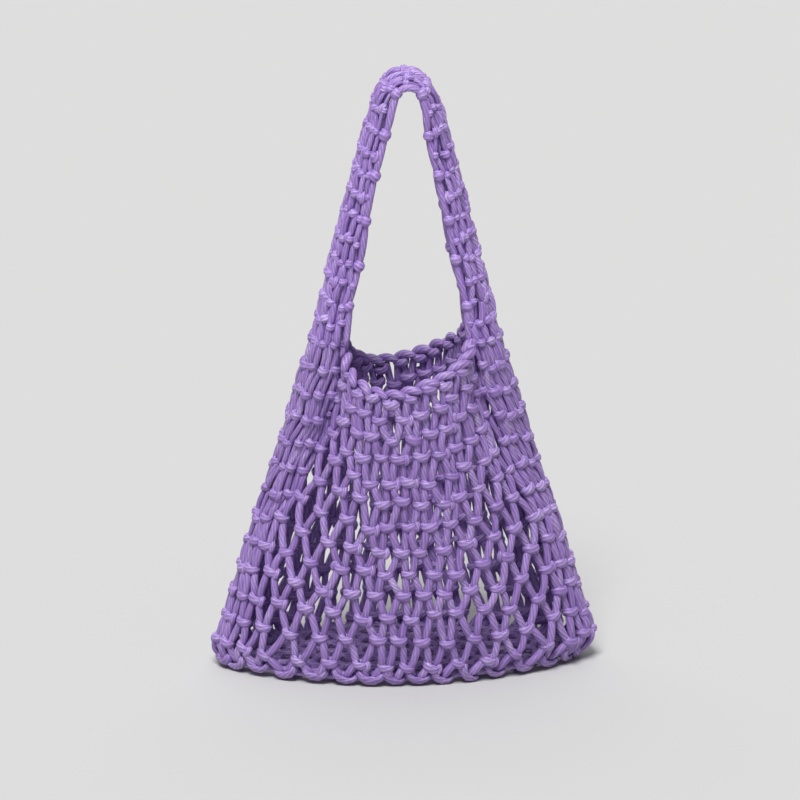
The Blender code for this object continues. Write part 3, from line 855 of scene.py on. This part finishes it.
class Graph:
    """The node tree of one material."""

    def __init__(self, name):
        self.material = bpy.data.materials.new(name)
        self.material.use_nodes = True
        self.tree = self.material.node_tree
        self.shader = self.tree.nodes["Principled BSDF"]

    def node(self, kind, settings=None, inputs=None):
        """A node of this kind, with its settings and then the values or links of its sockets."""
        made = self.tree.nodes.new(kind)
        for name, value in (settings or {}).items():
            setattr(made, name, value)
        self.feed(made, inputs or {})
        return made

    def value(self, kind, settings=None, inputs=None, output=0):
        """One output of a new node."""
        return Value(self, self.node(kind, settings, inputs).outputs[output])

    def mix(self, share, first, second):
        """Colour between two colours."""
        inputs = {0: share, 6: first, 7: second}
        return self.value("ShaderNodeMix", {"data_type": "RGBA"}, inputs, output=2)

    def feed(self, node, inputs):
        """Links or sets sockets of a node."""
        for name, value in inputs.items():
            if isinstance(value, Value):
                self.tree.links.new(value.socket, node.inputs[name])
            else:
                node.inputs[name].default_value = value


def cord_material(name, painted_brightness=1.0):
    """Cotton cord. Its ribs are a sine of the share of the way round, plus the length times a twist that
    differs between strands, and its fibres are noise drawn out along it. A weighted sum of both, of the
    strand's tone and of wide patches mixes the three colours, and one of ribs and fibres is the bump. In the
    colour the ribs paint shade in their grooves and a highlight on their crests, and a factor makes the whole
    piece lighter or darker as painted light or shade."""
    graph = Graph(name)
    dye = bpy.context.scene.bag_dye
    place = graph.value("ShaderNodeUVMap", {"uv_map": "cord"})
    parts = graph.node("ShaderNodeSeparateXYZ", inputs={0: place})
    u, v = (Value(graph, parts.outputs[index]) for index in (0, 1))
    tone = graph.value("ShaderNodeAttribute", {"attribute_name": "tone"}, output="Fac")
    wind = (u * RIBS + v * (tone * TWIST)) * math.tau
    rib = wind.maths("SINE") * 0.5 + 0.5
    drawn = graph.value("ShaderNodeVectorMath", {"operation": "MULTIPLY"}, {0: place, 1: FIBRE_STRETCH})
    fibres = {"Vector": drawn, "Scale": 1.0, "Detail": 3.0, "Roughness": 0.6}
    fibre = graph.value("ShaderNodeTexNoise", inputs=fibres)
    where = graph.value("ShaderNodeTexCoord", output="Object")
    patches = {"Vector": where, "Scale": PATCH_SCALE, "Detail": 2.0}
    patch = graph.value("ShaderNodeTexNoise", inputs=patches)
    # The ribs' share of the lightness paints shade in their grooves and a highlight on their crests.
    light = rib * RIB_LIGHT + fibre * FIBRE_LIGHT + tone * TONE_LIGHT + patch * PATCH_LIGHT - LIGHT_LOSS
    dyes = (dye.deep, dye.base, dye.pale)
    # Painted light and shade: every colour is scaled by the piece's factor.
    deep, base, pale = ([channel * painted_brightness for channel in colour] + [1.0] for colour in dyes)
    colour = graph.mix(light.between(*DEEP_TO_BASE), deep, base)
    colour = graph.mix(light.between(*BASE_TO_PALE), colour, pale)
    height = rib * RIB_HEIGHT + fibre * FIBRE_HEIGHT
    raised = {"Strength": BUMP_STRENGTH, "Distance": BUMP_DISTANCE, "Height": height}
    graph.feed(graph.shader, {
        "Base Color": colour,
        "Roughness": dye.roughness,
        "Specular IOR Level": SPECULAR,
        "Sheen Weight": SHEEN,
        "Sheen Roughness": SHEEN_ROUGHNESS,
        "Sheen Tint": [*dye.pale, 1.0],
        "Normal": graph.value("ShaderNodeBump", inputs=raised),
    })
    return graph.material


class MARKETBAG_OT_wall(bpy.types.Operator):
    """Builds the knotted wall, one piece for the knots and one for the strands of each half"""

    bl_idname = "market_bag.wall"
    bl_label = "Build wall"

    def execute(self, context):
        cord = context.scene.bag_cord
        material = cord_material("body_cord")
        knots = wall_knots(cord)
        ends = np.array(diagonal_ends(knots, range(FLOOR_ROW, TOP_ROW), all_round=True))
        from_strap = np.abs((knots.columns + HALF_ROUND / 2) % HALF_ROUND - HALF_ROUND / 2)
        barred = (knots.rows > FLOOR_ROW) & ((knots.rows < TOP_ROW) | (from_strap < STRAP_EDGE))
        in_front = knots.columns >= HALF_ROUND
        for seed, (half, inside) in enumerate((("front", in_front), ("back", ~in_front))):
            chosen = np.flatnonzero(inside & barred)
            tied = [bars(knots, chosen, cord), side_loops(knots, chosen, cord), tails(knots, chosen, cord)]
            add_piece(f"wall_knots_{half}", tied, material, f"net_{half}")
            there = inside[ends[:, 0].astype(int)]
            strands = links(knots, ends[there], cord, seed=31 + seed)
            add_piece(f"wall_strands_{half}", [strands], material, f"net_{half}")
        return {"FINISHED"}


class MARKETBAG_OT_handle(bpy.types.Operator):
    """Builds the long handle, one piece for its knots and one for its strands"""

    bl_idname = "market_bag.handle"
    bl_label = "Build handle"

    def execute(self, context):
        cord = context.scene.bag_cord
        material = cord_material("handle_cord", HANDLE_PAINTED_LIGHT)
        knots = strap_knots(cord)
        chosen = np.flatnonzero((knots.rows > TOP_ROW) & (knots.rows < LAST_ROW))
        at_edge = np.abs(knots.columns[chosen]) == STRAP_REACH
        edges = chosen[at_edge]
        knots.half_width[edges] = cord.bar_half_width * EDGE_BAR_WIDTH
        knots.thickness[edges] = EDGE_BAR_THICKNESS
        lean = np.where(knots.columns[edges] > 0, -EDGE_LEAN, EDGE_LEAN)[:, None]
        knots.right[edges], knots.up[edges] = turned(knots.right[edges], knots.up[edges], lean)
        crossed = bars(knots, chosen, cord, depth_share=STRAP_BAR_DEPTH)
        tied = [crossed, side_loops(knots, chosen[~at_edge], cord)]
        add_piece("handle_knots", tied, material, "handle_strap")
        ends = diagonal_ends(knots, range(TOP_ROW, LAST_ROW))
        for side in (-1, 1):
            for row in range(TOP_ROW, LAST_ROW, 2):
                low, high = (knots.find(side * STRAP_REACH, at) for at in (row, row + 2))
                ends.append((low, high, 0.0, 2.0, side))
        strands = links(knots, ends, cord, seed=41, crowded=STRAP_CROWDED, fullness=STRAP_FULLNESS)
        add_piece("handle_strands", [strands], material, "handle_strap")
        return {"FINISHED"}


class MARKETBAG_OT_mouth(bpy.types.Operator):
    """Builds the thick cord wound along each side of the mouth, and the bars under it"""

    bl_idname = "market_bag.mouth"
    bl_label = "Build mouth"

    def arcs(self, middle, cord, seed):
        """Overlapping arcs of the rim cord, at even lengths along the rim: each starts under the last one,
        humps up with the sine and ends over the next."""
        rng = np.random.default_rng(seed)
        reach = PANEL_REACH + RIM_MARGIN
        fine = middle + np.linspace(-reach, reach, RIM_LINE_SAMPLES)
        walked = lengths_along(wall_place(fine, TOP_ROW))
        spacing = walked[-1] / RIM_ARCS
        each = (RIM_ARCS, 1)
        s = np.linspace(0.0, 1.0, RIM_SAMPLES)[None, :]
        place = (np.arange(RIM_ARCS)[:, None] + 0.5 + rng.normal(0, RIM_SLIP, each)) * spacing
        length = place + RIM_OVERLAP * spacing * (s - 0.5)
        column = np.interp(length.reshape(-1), walked, fine).reshape(length.shape)
        line = wall_place(column, TOP_ROW)
        out = surface_frame(wall_place, column, TOP_ROW)[2]
        square = unit(np.cross(out, unit(np.gradient(line, axis=1))))
        hump = RIM_RISE + (RIM_HUMP + rng.normal(0, RIM_HUMP_SPREAD, each)) * np.sin(math.pi * s)
        depth = RIM_DEPTH * np.sin(math.pi * (s - 0.5)) + rng.normal(0, RIM_DEPTH_SPREAD, each)
        paths = line + square * hump[..., None] + out * depth[..., None]
        swell = RIM_END_RADIUS + RIM_SWELL * np.sin(math.pi * s) ** 0.5
        radii = cord.radius * swell * rng.normal(1.0, RIM_RADIUS_SPREAD, each)
        return cord_tubes(paths, out, radii, draw(rng, RIM_TONES, RIM_ARCS))

    def execute(self, context):
        cord = context.scene.bag_cord
        material = cord_material("mouth_cord", MOUTH_PAINTED_LIGHT)
        for seed, (half, middle) in enumerate((("front", FRONT_MIDDLE), ("back", BACK_MIDDLE))):
            columns = middle + np.arange(-RIM_REACH, RIM_REACH + 1)
            rows = np.full(len(columns), TOP_ROW - RIM_BAR_DROP)
            below = Knots(wall_place, columns, rows, cord, seed=51 + seed)
            tied = [self.arcs(middle, cord, 57 + seed), bars(below, np.arange(len(columns)), cord)]
            add_piece(f"mouth_rope_{half}", tied, material, f"mouth_cord_{half}")
        return {"FINISHED"}


class MARKETBAG_OT_base(bpy.types.Operator):
    """Builds the scalloped bottom edge and the flat net under the bag"""

    bl_idname = "market_bag.base"
    bl_label = "Build base"

    def wraps(self, knots, cord):
        """Wide hanging wraps where two strands meet on the floor, and a slack cord from each to the next that
        bows inwards with the sine."""
        lowest = np.flatnonzero(knots.rows == FLOOR_ROW)
        count = len(lowest)
        rng = np.random.default_rng(83)
        right, up = knots.right[lowest], knots.up[lowest]
        knots.centre[lowest] += right * draw(rng, WRAP_SLIPS, (count, 1))
        knots.thickness[lowest] = WRAP_THICKNESS * draw(rng, WRAP_SIZES, count)
        knots.right[lowest], knots.up[lowest] = turned(right, up, draw(rng, WRAP_TILTS, (count, 1)))
        knots.centre[lowest] += up * draw(rng, WRAP_RISES, (count, 1))
        hanging = bars(knots, lowest, cord, width_share=WRAP_WIDTH, smile_share=WRAP_SMILE)
        s = np.linspace(0.0, 1.0, STRAND_SAMPLES)[None, :]
        column = knots.columns[lowest][:, None] + s
        _, up, out = surface_frame(wall_place, column, FLOOR_ROW)
        bow = np.sin(math.pi * s)[..., None]
        back = SLACK_SETBACK + SLACK_BOW * bow
        paths = wall_place(column, FLOOR_ROW) - out * back - up * (SLACK_SAG * bow)
        slack = cord_tubes(paths, out, cord.radius * SLACK_RADIUS, knots.tone[lowest])
        return join_parts([hanging, slack])

    def base_knots(self, cord):
        """Knots of the flat net that lie inside the bag's outline."""
        along, across = BASE_REACH
        halves = np.arange(-2 * along, 2 * along + 1) / 2
        columns, rows = np.meshgrid(halves, np.arange(-across, across + 1))
        columns, rows = columns.reshape(-1), rows.reshape(-1)
        staggered = (np.rint(2 * columns).astype(int) - rows) % 2 == 0
        places = base_place(columns, rows)
        half_width, half_depth = (curve_through(BASE_HEIGHT, PROFILE, at) * BASE_SHARE for at in (1, 2))
        angle = np.arccos(np.clip(places[:, 0] / half_width, -1, 1))
        edge = lens_section(angle, half_width, half_depth)[1]
        inside = (np.abs(places[:, 0]) < half_width) & (np.abs(places[:, 1]) < edge)
        kept = staggered & inside
        return Knots(base_place, columns[kept], rows[kept], cord, seed=67)

    def execute(self, context):
        cord = context.scene.bag_cord
        material = cord_material("base_cord", BASE_PAINTED_SHADE)
        flat = self.base_knots(cord)
        ends = diagonal_ends(flat, range(-BASE_REACH[1], BASE_REACH[1]))
        parts = [
            self.wraps(wall_knots(cord), cord),
            bars(flat, np.arange(len(flat.rows)), cord, depth_share=BASE_FLATNESS),
            links(flat, ends, cord, seed=71, depth_share=BASE_STRAND_DEPTH),
        ]
        add_piece("base_net_cords", parts, material, "base_net")
        return {"FINISHED"}


class MARKETBAG_OT_stage(bpy.types.Operator):
    """Adds the pale floor, the soft studio light and the camera"""

    bl_idname = "market_bag.stage"
    bl_label = "Build stage"

    def floor(self, colour):
        """A wide level square under the bag."""
        mesh = bpy.data.meshes.new("floor")
        corners = [(x * FLOOR_REACH, y * FLOOR_REACH, 0) for x, y in ((-1, -1), (1, -1), (1, 1), (-1, 1))]
        mesh.from_pydata(corners, [], [(0, 1, 2, 3)])
        graph = Graph("floor")
        finish = {"Roughness": FLOOR_ROUGHNESS, "Specular IOR Level": FLOOR_SPECULAR}
        graph.feed(graph.shader, {"Base Color": [*colour, 1.0], **finish})
        mesh.materials.append(graph.material)
        obj = add_object("floor", mesh)

    def lamp(self, name, level, upright, width, strength):
        """Far soft light from one direction, of some width in the sky."""
        data = bpy.data.lights.new(name, "SUN")
        data.angle = math.radians(width)
        data.energy = strength
        add_object(name, data).rotation_euler = (math.radians(level), 0.0, math.radians(upright))

    def execute(self, context):
        stage = context.scene.bag_stage
        self.floor(stage.floor)
        world = bpy.data.worlds.new("studio")
        world.use_nodes = True
        sky = world.node_tree.nodes["Background"].inputs
        sky["Color"].default_value = (1.0, 1.0, 1.0, 1.0)
        sky["Strength"].default_value = WORLD_LIGHT
        context.scene.world = world
        for lamp in LAMPS:
            self.lamp(*lamp)
        context.scene.view_settings.view_transform = "Standard"
        camera = add_object("camera", bpy.data.cameras.new("camera"))
        camera.data.lens = stage.lens
        camera.data.clip_end = 100.0
        target = tuple(stage.target)
        flat = stage.distance * math.cos(stage.elevation)
        side, front = math.sin(stage.azimuth), math.cos(stage.azimuth)
        height = target[2] + stage.distance * math.sin(stage.elevation)
        camera.location = (target[0] + flat * side, target[1] - flat * front, height)
        camera.rotation_euler = (QUARTER - stage.elevation, 0.0, stage.azimuth)
        context.scene.camera = camera
        return {"FINISHED"}


class MARKETBAG_PT_panel(bpy.types.Panel):
    """Lists the steps that build the bag"""

    bl_label = "Market bag"
    bl_space_type = "VIEW_3D"
    bl_region_type = "UI"
    bl_category = "Market bag"

    def draw(self, context):
        for step in STEPS:
            self.layout.operator(step.bl_idname)
        for group in SETTINGS:
            settings = getattr(context.scene, group)
            box = self.layout.box()
            for name in settings.bl_rna.properties.keys():
                if name not in ("rna_type", "name"):
                    box.prop(settings, name)


STEPS = (MARKETBAG_OT_wall, MARKETBAG_OT_handle, MARKETBAG_OT_mouth, MARKETBAG_OT_base, MARKETBAG_OT_stage)
SETTINGS = {"bag_cord": CordSettings, "bag_dye": DyeSettings, "bag_stage": StageSettings}
CLASSES = (*SETTINGS.values(), *STEPS, MARKETBAG_PT_panel)


def register():
    """Registers the settings, the steps and the panel."""
    for kind in CLASSES:
        bpy.utils.register_class(kind)
    for name, group in SETTINGS.items():
        setattr(bpy.types.Scene, name, bpy.props.PointerProperty(type=group))


def unregister():
    """Removes what register added."""
    for name in SETTINGS:
        delattr(bpy.types.Scene, name)
    for kind in reversed(CLASSES):
        bpy.utils.unregister_class(kind)


def main():
    """Builds everything in order."""
    register()
    bpy.ops.market_bag.wall()
    bpy.ops.market_bag.handle()
    bpy.ops.market_bag.mouth()
    bpy.ops.market_bag.base()
    bpy.ops.market_bag.stage()


if __name__ == "__main__":
    main()
